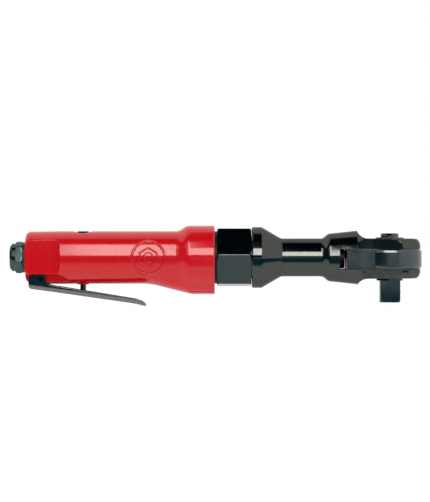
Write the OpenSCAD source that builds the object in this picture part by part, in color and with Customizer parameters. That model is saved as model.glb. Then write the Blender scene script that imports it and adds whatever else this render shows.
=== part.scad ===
// Air ratchet: a pneumatic ratchet wrench with a straight grip and a squeeze lever.
// X is the tool's axis, from the mouth of the air inlet (X = 0) to the ratchet head. The reverse
// knob points to +Z, and the lever and the square drive point to -Z. All sizes are millimetres.

/* [Square drive] */
// Distance from the inlet's mouth to the drive's axis
drive_x = 240.2; // [239.8:0.1:240.8]
// Side of the square drive
square_size = 12.7; // [12:0.1:13]
// Height of the square's tip
square_tip_z = -28.4; // [-30:0.1:-26]
// Radius of the round shoulder above the square
shoulder_r = 8.3; // [8.2:0.1:8.4]
// Radius of the reverse knob
knob_r = 5.75; // [5:0.05:7]
// Height of the reverse knob's top
knob_top_z = 15.3; // [14.5:0.1:18]

/* [Motor housing] */
// Radius of the round grip
grip_r = 16.7; // [16.5:0.1:17]
// Radius of the flared front
flare_r = 20.2; // [19.5:0.1:21]
// Rear face of the housing
housing_rear_x = 9.9; // [9.5:0.1:10.3]
// Front face of the housing
housing_front_x = 129.4; // [129.3:0.1:129.5]
// Half of the distance across the wrench flats at the rear
flat_half = 12.3; // [12:0.1:13]
// Where the wrench flats start to run out
flat_end_x = 28.6; // [26:0.1:30]
// Lowest point of the exhaust duct under the front
duct_z = -23.3; // [-24:0.1:-23]

/* [Throttle] */
// Place of the throttle valve along the grip
valve_x = 46.1; // [45:0.1:47]
// Radius of the throttle valve's chamber
chamber_r = 3.8; // [3.7:0.1:3.9]
// Radius of the push stem
stem_r = 1.85; // [1.7:0.05:1.85]
// Pivot of the lever along the grip
pivot_x = 19.7; // [19.5:0.1:19.9]
// Height of the lever's pivot
pivot_z = -13.6; // [-13.8:0.1:-13.4]
// Width of the pressed lever
lever_w = 15.4; // [15:0.1:16]
// Thickness of the lever's sheet steel
lever_t = 1.6; // [1.2:0.1:1.6]

/* [Air inlet] */
// Radius of the inlet's threaded hole, a quarter inch pipe thread
inlet_r = 5.6; // [5.4:0.1:5.7]
// Depth of the inlet's threaded hole
inlet_depth = 12; // [10:0.5:12]
// Corner radius of the inlet bushing's hexagon
inlet_hex_r = 10.35; // [10:0.05:10.6]

/* [Air motor] */
// Radius of the bore that holds the motor
motor_r = 14.2; // [14.2:0.05:14.3]
// Radius of the rotor
rotor_r = 9.9; // [9.6:0.1:9.9]
// Number of rotor blades
blades = 5; // [4:1:6]
// Offset of the cylinder's bore below the rotor's axis
cylinder_offset = 1.2; // [1:0.1:1.2]

/* [Planetary gears] */
// Gear module: pitch diameter over number of teeth
gear_module = 0.62; // [0.61:0.01:0.62]
// Teeth on the rotor's pinion
sun_teeth = 12; // [12:1:12]
// Teeth on each planet gear
planet_teeth = 15; // [15:1:15]
// Pressure angle of the teeth
pressure_angle = 25; // [25:1:25]

/* [Ratchet head] */
// Distance across the flats of the clamp nut
nut_across_flats = 35; // [34:0.1:35.5]
// Radius of the head's collar
collar_r = 19.33; // [19:0.1:20]
// Radius of the neck
neck_r = 12.05; // [11.8:0.05:12.5]
// Radius of the fork's round end about the drive's axis
fork_r = 19.5; // [18.5:0.1:19.6]
// Height of the fork's upper face
fork_top_z = 11.97; // [11.9:0.01:12]
// Height of the fork's lower face
fork_bottom_z = -13.3; // [-13.6:0.1:-13.3]
// Outer radius of the yoke's ring
yoke_r = 20.3; // [19.5:0.1:20.4]
// Eccentricity of the crank
crank_throw = 2; // [1.8:0.1:2]
// Teeth inside the yoke
yoke_teeth = 40; // [36:2:44]

/* [Hidden] */
$fn = 64;
cut = 1;                      // extra length of a cutter beyond the face that it opens
fit_gap = 0.05;               // radial gap of parts that are fitted together
run_gap = 0.07;               // radial gap of parts that turn in each other
arc_steps = 10;               // straight steps in one rounded stretch of an outline

// Stations along the axis
inlet_nose_x = 3.4;
inlet_hex_x = 8;
bushing_end_x = 24;
rear_plate_x = 70;
cylinder_x = 77.5;
front_plate_x = 112.5;
gear_case_x = 120.5;
gear_wall_x = 122.5;
teeth_start_x = 125.8;
teeth_end_x = 139.6;
nut_rear_x = 130.9;
nut_front_x = 152.5;
carrier_rear_x = 124;
carrier_front_x = 143.2;
head_rear_x = 146;
collar_x = 152.8;
cone_x = 159.8;
neck_x = 171.4;
shoulder_x = 219.2;
slot_x = 208;
crank_pocket_x = 221.5;

// Lever and throttle
lug_half = 5.9;               // half width of the housing's lug between the lever's ears
ear_gap = 0.2;                // side gap between the lug and each ear
lever_pin_r = 1.5;
seat_z = -0.6;                // top of the valve seat
cap_bottom_z = 9;
spot_face_z = 15.2;           // flat round the valve cap
boss_z = -17;                 // end of the boss round the stem

// Motor and gears
cylinder_bore_r = 11.3;
ring_teeth = sun_teeth + 2 * planet_teeth;
sun_pitch_r = gear_module * sun_teeth / 2;
planet_pitch_r = gear_module * planet_teeth / 2;
ring_pitch_r = gear_module * ring_teeth / 2;
planet_orbit_r = sun_pitch_r + planet_pitch_r;
addendum = 0.9 * gear_module;
dedendum = 1.2 * gear_module;
tooth_gap = 0.06;             // material taken off each flank for backlash
planet_phase = 18;            // turn of every planet that puts it in mesh with sun and ring
planet_angles = [90, 210, 330];
planet_pin_r = 1.9;
case_nose_r = 15.4;           // thread of the gear case that carries the clamp nut
case_bore_r = 13.9;

// Head and drive
nut_corner_r = nut_across_flats / 2 / cos(30);
nut_turn = -5;                // turn of the clamp nut's corners from the horizontal
inlet_turn = 16.7;            // turn of the inlet hexagon's corners from the horizontal
sleeve_r = 13.5;
crank_r = 6.5;
crank_pin_r = 2.6;
roller_r = 4.6;
roller_x = [213.5, 219.8];
slot_z = [-7.35, 5.45];
yoke_z = [-7.1, 5.2];
yoke_tip_r = 12;
yoke_root_r = 13;
spindle_r = 11.8;
journal_r = 12.13;
journal_z = -10.35;
trunnion_r = 5.9;
knob_stem_r = 2.9;
pawl_z = [-5, 3];
pawl_pivot = 6.8;             // distance of the pawl's pivot from the drive's axis
pawl_rock = 5;                // turn of the pawl to either side of its middle
knob_half_turn = 30;          // turn of the knob to either side of its middle
ball_r = 2;
ball_z = -22;

// ---------------------------------------------------------------- outlines and helpers

// Points on an arc, from angle a0 to angle a1.
function arc(centre, r, a0, a1, steps = arc_steps) =
    [for (i = [0:steps]) let(a = a0 + (a1 - a0) * i / steps) centre + r * [cos(a), sin(a)]];

// Points of a smooth S-shaped step between two points.
function s_curve(p0, p1, steps = arc_steps) =
    [for (i = [0:steps]) let(t = i / steps)
        [p0[0] + (p1[0] - p0[0]) * t, p0[1] + (p1[1] - p0[1]) * (1 - cos(180 * t)) / 2]];

// Involute function, in degrees.
function involute(a) = tan(a) * 180 / PI - a;

// Half of a tooth's angle at radius r. A positive thin makes the tooth thinner.
function tooth_half_angle(r, teeth, thin) =
    let(pitch_r = gear_module * teeth / 2, base_r = pitch_r * cos(pressure_angle))
    90 / teeth + involute(pressure_angle) - involute(acos(min(1, base_r / r)))
        - thin / pitch_r * 180 / PI;

// Outline of a gear between its root and tip circles, with one tooth centred on the first axis.
function gear_outline(teeth, root_r, tip_r, thin, steps = 4) =
    [for (tooth = [0:teeth - 1]) for (k = [0:2 * steps + 1])
        let(rising = k <= steps,
            r = root_r + (tip_r - root_r) * (rising ? k : 2 * steps + 1 - k) / steps,
            a = tooth * 360 / teeth + (rising ? -1 : 1) * tooth_half_angle(r, teeth, thin))
        r * [cos(a), sin(a)]];

// Puts a shape that is built along +Z on the tool's axis, from x on.
module along_x(x) {
    translate([x, 0, 0]) rotate([0, 90, 0]) children();
}

// Extrudes a drawing of X and Z across the tool, from y0 to y1.
module across_y(y0, y1) {
    translate([0, y1, 0]) rotate([90, 0, 0]) linear_extrude(y1 - y0) children();
}

// Turned part on the tool's axis. The closed profile lists points of [x, radius].
module turned(profile) {
    rotate([0, 90, 0]) rotate_extrude() polygon([for (p = profile) [p[1], p[0]]]);
}

// Solid rod on the tool's axis.
module rod(x0, x1, r) {
    along_x(x0) cylinder(h = x1 - x0, r = r);
}

// Sleeve on the tool's axis.
module sleeve(x0, x1, r_out, r_in) {
    difference() {
        rod(x0, x1, r_out);
        rod(x0 - cut, x1 + cut, r_in);
    }
}

// Upright cylinder between two heights.
module post(z0, z1, r) {
    translate([0, 0, z0]) cylinder(h = z1 - z0, r = r);
}

// Upright ring between two heights.
module ring(z0, z1, r_out, r_in) {
    difference() {
        post(z0, z1, r_out);
        post(z0 - cut, z1 + cut, r_in);
    }
}

// Hexagonal bar on the tool's axis with its corners chamfered at both ends.
module hex_bar(x0, x1, corner_r, turn, chamfer) {
    intersection() {
        along_x(x0) rotate([0, 0, 90 + turn]) cylinder(h = x1 - x0, r = corner_r, $fn = 6);
        turned([[x0, 0], [x0, corner_r - chamfer], [x0 + chamfer * 0.8, corner_r + 0.3],
                [x1 - chamfer * 0.8, corner_r + 0.3], [x1, corner_r - chamfer], [x1, 0]]);
    }
}

// Coil spring along +Z: a six-sided wire swept round its turns, closed at both ends.
module coil_spring(height, coil_r, wire_r, turns) {
    sides = 6;
    steps = 12 * turns;
    points = [for (i = [0:steps]) for (k = [0:sides - 1])
        let(a = 360 * turns * i / steps, b = 360 * k / sides, r = coil_r + wire_r * cos(b))
        [r * cos(a), r * sin(a), wire_r + (height - 2 * wire_r) * i / steps + wire_r * sin(b)]];
    walls = [for (i = [0:steps - 1]) for (k = [0:sides - 1])
        let(a = i * sides + k, b = i * sides + (k + 1) % sides) [a, b, b + sides, a + sides]];
    start = [for (k = [0:sides - 1]) sides - 1 - k];
    end = [for (k = [0:sides - 1]) steps * sides + k];
    polyhedron(points, concat(walls, [start, end]));
}

// Races and balls of a bearing. groove_r is the radius of the track's cross-section.
module race(x0, x1, r_out, r_in, track_r, groove_r) {
    difference() {
        sleeve(x0, x1, r_out, r_in);
        along_x((x0 + x1) / 2) rotate_extrude() translate([track_r, 0]) circle(r = groove_r);
    }
}

// Balls of a bearing, held in one piece by their cage.
module balls(x, track_r, r, count) {
    sleeve(x - r * 0.4, x + r * 0.4, track_r + 0.35, track_r - 0.35);
    for (i = [0:count - 1])
        rotate([360 * i / count, 0, 0]) translate([x, 0, track_r]) sphere(r = r);
}

// ---------------------------------------------------------------- air inlet

module inlet_bushing() {
    color("silver") difference() {
        union() {
            turned([[0, 0], [0, 7.4], [1.3, 8.75], [inlet_nose_x + cut, 8.75],
                    [inlet_nose_x + cut, 0]]);
            hex_bar(inlet_nose_x, inlet_hex_x, inlet_hex_r, inlet_turn, 1);
            rod(inlet_hex_x - cut, bushing_end_x, 7.9);
        }
        rod(-cut, inlet_depth, inlet_r);
        rod(inlet_depth - cut, inlet_depth + 1, 5);
        rod(inlet_depth, bushing_end_x + cut, 4.6);
    }
}

module inlet_seal() {
    color("black") sleeve(inlet_hex_x, housing_rear_x, 9.6, 7.9 + fit_gap);
}

// Thimble strainer that stands in the bushing behind the hose thread.
module inlet_screen() {
    x0 = inlet_depth + 0.1;
    color("gold") difference() {
        union() {
            rod(x0, inlet_depth + 1, 4.9);
            rod(x0, bushing_end_x - 3, 4.4);
        }
        rod(x0 - cut, bushing_end_x - 3.5, 4);
        for (x = [x0 + 2.5, x0 + 5.5]) for (i = [0:7])
            rotate([i * 45, 0, 0]) translate([x, 0, 3]) cylinder(h = 3, r = 0.8);
        along_x(bushing_end_x - 5) for (i = [0:4]) rotate([0, 0, i * 72])
            translate([2.2, 0, 0]) cylinder(h = 4, r = 0.7);
    }
}

// ---------------------------------------------------------------- motor housing

// Round outside of the housing: rounded rear corner, straight grip, flared front.
module housing_outside() {
    corner_r = 3.2;
    rear_r = grip_r - 0.3;
    turned(concat(
        [[housing_rear_x, 0]],
        arc([housing_rear_x + corner_r, rear_r - corner_r], corner_r, 180, 90),
        [[30, grip_r]],
        s_curve([105.5, grip_r], [117, flare_r]),
        [[housing_front_x - 0.6, flare_r], [housing_front_x, flare_r - 0.6], [housing_front_x, 0]]
    ));
}

// Exhaust duct that swells out under the front of the grip.
module exhaust_bulge() {
    swell_r = 13;
    hull() {
        translate([0, 0, 0.4 - grip_r + swell_r]) rod(86.5, 87, swell_r, $fn = 32);
        translate([0, 0, duct_z + swell_r]) rod(115, housing_front_x, swell_r, $fn = 32);
    }
}

// Cutter for one wrench flat, which runs out in a rounded end.
module wrench_flat() {
    run_out_r = 3.5;
    translate([0, 0, -30]) linear_extrude(60) polygon(concat(
        [[housing_rear_x - cut, 30], [housing_rear_x - cut, flat_half]],
        arc([flat_end_x, flat_half + run_out_r], run_out_r, -90, 0),
        [[flat_end_x + run_out_r, 30]]
    ));
}

// Cutter for the step on each side of the lug that carries the lever.
module lever_recess() {
    recess_z = -10.5;
    run_out_r = 10.5;
    polygon(concat(
        [[housing_rear_x - cut, -30], [housing_rear_x - cut, recess_z]],
        arc([29, recess_z - run_out_r], run_out_r, 90, 0),
        [[29 + run_out_r, -30]]
    ));
}

// Passages for air: inlet, throttle chamber, port to the motor, exhaust.
module air_passages() {
    rod(housing_rear_x - cut, bushing_end_x, 7.9 + fit_gap);
    rod(bushing_end_x - cut, valve_x, 4.6);
    translate([valve_x, 0, 0]) {
        post(seat_z - 1.4, grip_r + cut, chamber_r);
        post(-9, seat_z, 2.6);
        post(-16, -9 + cut, 3);
        post(-20, -16 + cut, stem_r + 0.35);
        post(spot_face_z, grip_r + cut, 6.2);
    }
    translate([0, 0, -5.4]) rod(valve_x, rear_plate_x, 2.4);
    rod(rear_plate_x - 4, rear_plate_x + cut, 12.5);
    across_y(-6, 6) polygon([[97, -12], [97, -16.8], [114.5, -21.4], [housing_front_x + cut, -21.4],
                             [housing_front_x + cut, -18.4], [111, -18.4], [109, -12]]);
}

module motor_housing() {
    color("crimson") difference() {
        union() {
            housing_outside();
            exhaust_bulge();
            translate([valve_x, 0, 0]) post(boss_z, -12, chamber_r);
        }
        wrench_flat();
        mirror([0, 1, 0]) wrench_flat();
        across_y(lug_half, 30) lever_recess();
        across_y(-30, -lug_half) lever_recess();
        translate([pivot_x, 0, pivot_z]) rotate([90, 0, 0])
            cylinder(h = 30, r = lever_pin_r, center = true);
        rod(rear_plate_x, gear_case_x + 0.5, motor_r);
        rod(gear_case_x + 0.5 - cut, housing_front_x + cut, motor_r + 0.6);
        air_passages();
    }
}

// ---------------------------------------------------------------- throttle

module valve_seat() {
    color("peru") translate([valve_x, 0, 0]) ring(seat_z - 1.4, seat_z, chamber_r - fit_gap, 2.4);
}

module stem_bushing() {
    color("peru") translate([valve_x, 0, 0]) ring(-16, -9, 3 - fit_gap, stem_r + run_gap);
}

module valve_cap() {
    color("dimgray") translate([valve_x, 0, 0]) difference() {
        union() {
            post(cap_bottom_z, grip_r - 0.4, chamber_r - fit_gap);
            post(grip_r - 0.5, grip_r - 0.1, chamber_r - 0.4);
        }
        ring(10.5, 12, chamber_r + cut, 3);
        translate([0, 0, 14]) cylinder(h = 5, r = 1.8, $fn = 6);
    }
}

module valve_cap_seal() {
    color("black") translate([valve_x, 0, 0]) ring(10.5, 12, chamber_r - fit_gap, 3);
}

module throttle_spring() {
    color("lightsteelblue") translate([valve_x, 0, 1.45])
        coil_spring(cap_bottom_z - 1.5, 2.2, 0.3, 5);
}

module throttle_valve() {
    color("black") translate([valve_x, 0, 0]) {
        post(seat_z, 1.4, 3.3);
        post(1.4, 4.4, 1.2);
    }
}

// Push stem: its cone tip follows the lever's tray.
module valve_stem() {
    color("gray") translate([valve_x, 0, 0]) rotate_extrude() polygon([
        [0, -22.65], [0.7, -22.65], [stem_r, -21.5], [stem_r, -7.5], [1.1, -7.5], [1.1, seat_z],
        [0, seat_z]
    ]);
}

module lever_pin() {
    color("silver") translate([pivot_x, 0, pivot_z]) rotate([90, 0, 0])
        cylinder(h = lever_w, r = lever_pin_r, center = true);
}

// Side view of the lever: ears at the pivot, straight underside, tip turned down.
lever_underside = [[86, -30.7], [84, -30.3], [80, -29.4], [75.8, -28.7], [25.1, -21.5],
                   [13, -19.9], [12, -18.8]];
lever_topside = [[12, -10.8], [20.5, -10.8], [22.7, -11.3], [23.2, -15.6], [26.5, -17.3], [78.9, -26],
                 [83, -27.4], [86, -29.3]];

// Pressed U-shaped lever: a tray between two walls.
module throttle_lever() {
    half = lever_w / 2;
    wall_y = lug_half + ear_gap;
    color("#202428") difference() {
        union() {
            across_y(wall_y, half) polygon(concat(lever_topside, lever_underside));
            across_y(-half, -wall_y) polygon(concat(lever_topside, lever_underside));
            across_y(-wall_y - 0.01, wall_y + 0.01) polygon(concat(
                [for (p = lever_underside) p],
                [for (i = [len(lever_underside) - 2:-1:0]) lever_underside[i] + [0, lever_t]]
            ));
        }
        translate([pivot_x, 0, pivot_z]) rotate([90, 0, 0])
            cylinder(h = 30, r = lever_pin_r + run_gap, center = true);
    }
}

// ---------------------------------------------------------------- air motor

module rear_end_plate() {
    color("silver") difference() {
        rod(rear_plate_x, cylinder_x, motor_r - fit_gap);
        rod(rear_plate_x - cut, rear_plate_x + 4.5, 8 + fit_gap);
        rod(rear_plate_x, cylinder_x + cut, 4.2);
        translate([0, 0, -10.6]) rod(rear_plate_x - cut, cylinder_x + cut, 1.6);
        translate([0, 0, 12.1]) rod(cylinder_x - 3, cylinder_x + cut, 1 + fit_gap);
    }
}

module rear_bearing_outer_race() {
    color("lightsteelblue") race(rear_plate_x, rear_plate_x + 4.5, 8, 6.7, 5.8, 1.35);
}

module rear_bearing_balls() {
    color("gainsboro") balls(rear_plate_x + 2.25, 5.8, 1.25, 9);
}

module rear_bearing_inner_race() {
    color("lightsteelblue") race(rear_plate_x, rear_plate_x + 4.5, 4.9, 3.5 + fit_gap, 5.8, 1.35);
}

// Liner whose bore sits below the rotor's axis, with exhaust holes in its floor.
module cylinder_liner() {
    color("darkgray") difference() {
        rod(cylinder_x, front_plate_x, motor_r - fit_gap);
        translate([0, 0, -cylinder_offset])
            rod(cylinder_x - cut, front_plate_x + cut, cylinder_bore_r);
        translate([0, 0, 12.1]) rod(cylinder_x - cut, front_plate_x + cut, 1 + fit_gap);
        for (x = [98.5:3.5:107]) translate([x, 0, -16]) cylinder(h = 6, r = 1.3);
    }
}

module cylinder_dowel() {
    color("gainsboro") translate([0, 0, 12.1]) rod(cylinder_x - 2.8, front_plate_x + 2, 1);
}

module rotor() {
    slot_floor_r = 4.6;
    color("slategray") {
        difference() {
            rod(cylinder_x + 0.3, front_plate_x - 0.3, rotor_r);
            for (i = [0:blades - 1]) rotate([360 * i / blades, 0, 0])
                translate([cylinder_x - cut, -0.8, slot_floor_r]) cube([40, 1.6, 10]);
        }
        rod(rear_plate_x + 0.2, cylinder_x + 0.3, 3.5);
        rod(front_plate_x - 0.3, gear_case_x + 0.2, 4.5);
        along_x(gear_case_x + 0.2) linear_extrude(teeth_end_x - gear_case_x - 0.8)
            rotate(90) polygon(gear_outline(sun_teeth, sun_pitch_r - dedendum,
                                            sun_pitch_r + addendum, tooth_gap));
    }
}

module rotor_blades() {
    color("saddlebrown") for (i = [0:blades - 1]) rotate([360 * i / blades, 0, 0])
        translate([cylinder_x + 0.4, -0.75, 4.7])
            cube([front_plate_x - cylinder_x - 0.8, 1.5, rotor_r - 4.75]);
}

module front_end_plate() {
    color("silver") difference() {
        rod(front_plate_x, gear_case_x, motor_r - fit_gap);
        rod(gear_case_x - 5, gear_case_x + cut, 9.8 + fit_gap);
        rod(front_plate_x - cut, gear_case_x, 5.2);
        translate([0, 0, 12.1]) rod(front_plate_x - cut, front_plate_x + 2.2, 1 + fit_gap);
    }
}

module front_bearing_outer_race() {
    color("lightsteelblue") race(gear_case_x - 5, gear_case_x, 9.8, 8.3, 7.2, 1.55);
}

module front_bearing_balls() {
    color("gainsboro") balls(gear_case_x - 2.5, 7.2, 1.45, 10);
}

module front_bearing_inner_race() {
    color("lightsteelblue") race(gear_case_x - 5, gear_case_x, 6.1, 4.5 + fit_gap, 7.2, 1.55);
}

// Felt block that the exhaust passes on its way out of the duct.
module exhaust_muffler() {
    color("dimgray") translate([118, -5.95, -21.35]) cube([9, 11.9, 2.9]);
}

// ---------------------------------------------------------------- planetary gears

// Threaded case with the ring gear inside: its flange shows between the housing and the nut.
module gear_case() {
    color("#16181b") difference() {
        turned([
            [gear_case_x, 0], [gear_case_x, 14.1], [gear_case_x + 0.7, 14.75],
            [housing_front_x, 14.75], [housing_front_x, 16.6], [nut_rear_x, 16.6],
            [nut_rear_x, case_nose_r], [head_rear_x, case_nose_r], [head_rear_x, 0]
        ]);
        rod(gear_case_x - cut, gear_wall_x + cut, 8.6);
        rod(gear_wall_x, teeth_start_x, case_bore_r);
        along_x(teeth_start_x - cut) linear_extrude(teeth_end_x - teeth_start_x + 2 * cut)
            rotate(90 + 180 / ring_teeth)
                polygon(gear_outline(ring_teeth, ring_pitch_r - addendum,
                                     ring_pitch_r + dedendum, -tooth_gap));
        rod(teeth_end_x, head_rear_x + cut, case_bore_r);
    }
}

// Places a piece on a planet's axis. The turn is about the tool's axis, from +Y.
module at_planet(i) {
    rotate([planet_angles[i], 0, 0]) translate([0, planet_orbit_r, 0])
        rotate([-planet_angles[i], 0, 0]) children();
}

module planet_gear(i) {
    color("gainsboro") at_planet(i) difference() {
        along_x(carrier_rear_x + 1.9) linear_extrude(13.3)
            rotate(90 + planet_phase) polygon(gear_outline(planet_teeth,
                planet_pitch_r - dedendum, planet_pitch_r + addendum, tooth_gap));
        rod(carrier_rear_x, teeth_end_x + cut, planet_pin_r + run_gap);
    }
}

module planet_gear_1() { planet_gear(0); }

module planet_gear_2() { planet_gear(1); }

module planet_gear_3() { planet_gear(2); }

module planet_pins() {
    color("lightsteelblue") for (i = [0:2])
        at_planet(i) rod(carrier_rear_x, teeth_end_x + 2, planet_pin_r);
}

// Planet carrier and crankshaft in one piece, with an eccentric pin at the front end.
module crankshaft() {
    carrier_r = 12.1;
    web_orbit_r = 9.5;
    cheek_front_x = 211.4;    // front of the thick cheek that carries the eccentric pin
    color("slategray") difference() {
        union() {
            rod(carrier_rear_x, carrier_rear_x + 1.6, carrier_r);
            rod(teeth_end_x, carrier_front_x, carrier_r);
            for (a = planet_angles) rotate([a + 60, 0, 0]) translate([0, web_orbit_r, 0])
                rod(carrier_rear_x + 1, teeth_end_x + 1, 2.4);
            rod(carrier_front_x - cut, 204, crank_r);
            rod(203, cheek_front_x, 6.9);
            translate([0, 0, crank_throw]) rod(cheek_front_x - cut, roller_x[1] + 0.8, crank_pin_r);
        }
        rod(carrier_rear_x - cut, carrier_rear_x + 2, 5.2);
        for (i = [0:2]) at_planet(i)
            rod(carrier_rear_x - cut, teeth_end_x + 2.02, planet_pin_r + 0.02);
    }
}

module crank_thrust_washer() {
    color("peru") sleeve(carrier_front_x + 0.2, head_rear_x, 12, crank_r + 0.4);
}

module crank_bushings() {
    color("peru") for (x = [148, 186])
        sleeve(x, x + 14, 8.5 - fit_gap, crank_r + run_gap);
}

module crank_roller() {
    color("gainsboro") translate([0, 0, crank_throw])
        sleeve(roller_x[0], roller_x[1], roller_r, crank_pin_r + run_gap);
}

// ---------------------------------------------------------------- ratchet head

module clamp_nut() {
    shoulder_x0 = 149;
    color("#1c2b30") difference() {
        hex_bar(nut_rear_x, nut_front_x, nut_corner_r, nut_turn, 1.6);
        rod(nut_rear_x - cut, shoulder_x0, case_nose_r + fit_gap);
        rod(shoulder_x0 - cut, nut_front_x + cut, sleeve_r + fit_gap);
    }
}

module nut_retaining_ring() {
    color("lightsteelblue") difference() {
        sleeve(147.1, 148.9, 15.2, 12.5);
        translate([146, -1.5, -20]) cube([4, 3, 10]);
    }
}

// Cutter above the fork: a flat face that starts in a rounded step.
module fork_step(face_z) {
    step_r = 6;
    polygon(concat(
        [[shoulder_x, 30]],
        arc([shoulder_x + step_r, face_z + step_r], step_r, 180, 270),
        [[270, face_z], [270, 30]]
    ));
}

// Plan of the fork: flat flanks that end at the round end, seen from above.
module fork_plan() {
    flank_w = 17;
    end_a = 68.5;             // half of the round end's angle about the drive's axis
    polygon(concat(
        [[140, -30], [shoulder_x, -30], [shoulder_x, -flank_w]],
        arc([drive_x, 0], fork_r, -end_a, end_a, 4 * arc_steps),
        [[shoulder_x, flank_w], [shoulder_x, 30], [140, 30]]
    ));
}

// Rounding round the end of one ear of the fork, a quarter of an ellipse in section.
module rim_rounding(face_z, way) {
    depth = 5.2;
    reach = 3.2;
    intersection() {
        translate([drive_x, 0, 0]) rotate_extrude() polygon(concat(
            [for (a = [0:15:90])
                [fork_r - reach + reach * sin(a), face_z - way * depth * (1 - cos(a))]],
            [[fork_r + 3, face_z - way * depth], [fork_r + 3, face_z + way],
             [fork_r - reach, face_z + way]]
        ));
        translate([drive_x, -30, -30]) cube([60, 60, 60]);
    }
}

module ratchet_head() {
    color("#22282b") difference() {
        intersection() {
            turned(concat(
                [[head_rear_x, 0], [head_rear_x, sleeve_r], [147, sleeve_r], [147, 12.4],
                 [149, 12.4], [149, sleeve_r], [collar_x, sleeve_r], [collar_x, collar_r - 0.7],
                 [collar_x + 0.7, collar_r], [cone_x - 0.8, collar_r], [cone_x, collar_r - 0.4],
                 [neck_x - 0.6, neck_r + 0.4], [neck_x + 0.6, neck_r]],
                s_curve([196.6, neck_r], [202.4, 15.2]),
                [[shoulder_x, 17], [225, 23.5], [270, 23.5], [270, 0]]
            ));
            translate([0, 0, -30]) linear_extrude(60) fork_plan();
        }
        across_y(-30, 30) fork_step(fork_top_z);
        mirror([0, 0, 1]) across_y(-30, 30) fork_step(-fork_bottom_z);
        rim_rounding(fork_top_z, 1);
        rim_rounding(fork_bottom_z, -1);
        translate([slot_x, -30, slot_z[0]]) cube([80, 60, slot_z[1] - slot_z[0]]);
        rod(head_rear_x - cut, 200, 8.5);
        rod(199, crank_pocket_x, 7.2);
        translate([drive_x, 0, 0]) {
            post(fork_bottom_z - cut, slot_z[0] + cut, journal_r + run_gap);
            post(-12.45, -11.4, journal_r + 0.7);
            post(slot_z[1] - cut, fork_top_z + cut, trunnion_r + run_gap);
        }
    }
}

// Yoke: a ring with ratchet teeth inside and a fork behind, which the crank's roller swings.
module ratchet_yoke() {
    fork_half = roller_r + 2 * crank_throw + 0.3;
    fork_length = 27.8;
    fork_floor = 18.6;        // distance of the fork slot's floor from the drive's axis
    tail_half = 15.6;
    flank_end = [-9, 17.6];   // where each flank dives into the ring
    tooth = 360 / yoke_teeth;
    height = yoke_z[1] - yoke_z[0];
    color("slategray") translate([drive_x, 0, yoke_z[0]]) difference() {
        union() {
            rotate_extrude($fn = 128) polygon([
                [0, 0], [yoke_r - 1, 0], [yoke_r - 0.35, 0.7], [yoke_r, 2], [yoke_r, height - 2],
                [yoke_r - 0.35, height - 0.7], [yoke_r - 1, height], [0, height]
            ]);
            linear_extrude(height) polygon([
                [-fork_length, -tail_half], [flank_end[0], -flank_end[1]],
                flank_end, [-fork_length, tail_half]
            ]);
        }
        translate([0, 0, -cut]) linear_extrude(height + 2 * cut)
            polygon([for (i = [0:yoke_teeth - 1]) for (side = [0, 0.5])
                let(r = side == 0 ? yoke_tip_r : yoke_root_r, a = (i + side) * tooth)
                r * [cos(a), sin(a)]]);
        translate([-fork_length - cut, -fork_half, -cut])
            cube([fork_length + cut - fork_floor, 2 * fork_half, height + 2 * cut]);
    }
}

// ---------------------------------------------------------------- square drive

// Drive spindle: square, shoulder, journal, pawl carrier and upper trunnion.
module drive_spindle() {
    half = square_size / 2;
    color("#26363a") translate([drive_x, 0, 0]) difference() {
        union() {
            intersection() {
                translate([-half, -half, square_tip_z]) cube([square_size, square_size, 14]);
                post(square_tip_z - cut, 0, half * 1.36);
                rotate_extrude() polygon([
                    [0, square_tip_z], [half * 1.1, square_tip_z], [half * 1.5, square_tip_z + 2.4],
                    [half * 1.5, 0], [0, 0]
                ]);
            }
            post(-14.6, journal_z + cut, shoulder_r);
            post(journal_z, slot_z[0], journal_r);
            post(slot_z[0] - 0.1, yoke_z[1], spindle_r);
            post(yoke_z[1] - cut, fork_top_z, trunnion_r);
            post(fork_top_z - cut, fork_top_z + 0.7, 4.6);
        }
        translate([1.5, -20, pawl_z[0] - 0.2]) cube([20, 40, pawl_z[1] - pawl_z[0] + 0.4]);
        post(-4.8, fork_top_z + 2, knob_stem_r + run_gap);
        translate([pawl_pivot, 0, 0]) post(pawl_z[0] - 2, pawl_z[1] + 1.8, 1.5);
        translate([0.5, 0, ball_z]) rotate([0, 90, 0]) cylinder(h = 10, r = ball_r + fit_gap);
    }
}

module drive_thrust_washer() {
    color("peru") translate([drive_x, 0, 0]) ring(-11.35, -10.45, journal_r, shoulder_r + 0.1);
}

module drive_retaining_ring() {
    color("dimgray") translate([drive_x, 0, 0]) difference() {
        ring(-12.4, -11.45, journal_r + 0.6, journal_r - 2.2);
        translate([-20, -2, -14]) cube([12, 4, 4]);
    }
}

module drive_top_washer() {
    color("#3a4446") translate([drive_x, 0, 0])
        ring(fork_top_z + 0.1, fork_top_z + 0.7, 8.85, 4.6 + fit_gap);
}

// Turns a piece of the pawl to its rest position against one side of the yoke.
module at_pawl() {
    translate([drive_x, 0, 0]) translate([pawl_pivot, 0, 0]) rotate([0, 0, pawl_rock])
        translate([-pawl_pivot, 0, 0]) children();
}

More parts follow.
